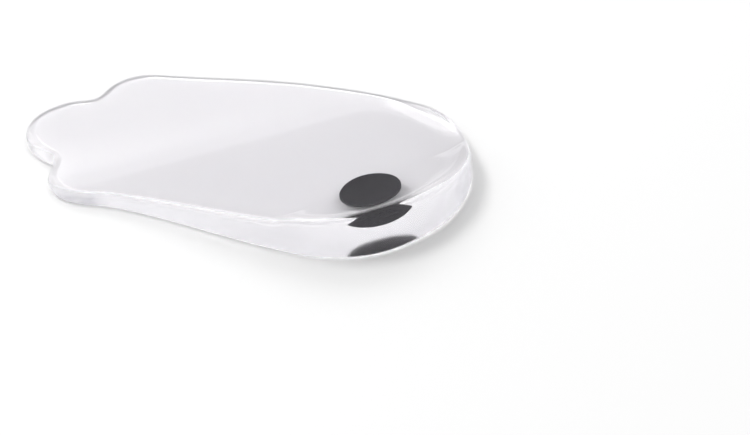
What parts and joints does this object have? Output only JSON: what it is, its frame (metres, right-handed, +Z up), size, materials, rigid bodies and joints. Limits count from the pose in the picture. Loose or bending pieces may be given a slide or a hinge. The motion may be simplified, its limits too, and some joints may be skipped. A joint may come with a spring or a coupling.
{
  "type": "heel cup",
  "caption": "Clear silicone heel cushion with a wedge side, shallow cupped heel, lobed toe end and a disc magnet moulded in under the heel.",
  "frame": {"origin": "middle of the flat underside's bounding box, on the surface that the pad rests on", "axes": "+X towards the back of the heel, -Y towards the thick side of the wedge, +Z up"},
  "size_m": [0.1126, 0.0574, 0.0106],
  "materials": {
    "clear_silicone": "clear, smooth moulded silicone gel",
    "ferrite_magnet": "matte sintered ferrite"
  },
  "bodies": {
    "root": {"gel_body": "clear_silicone", "magnet_disc": "ferrite_magnet"}
  },
  "joints": []
}
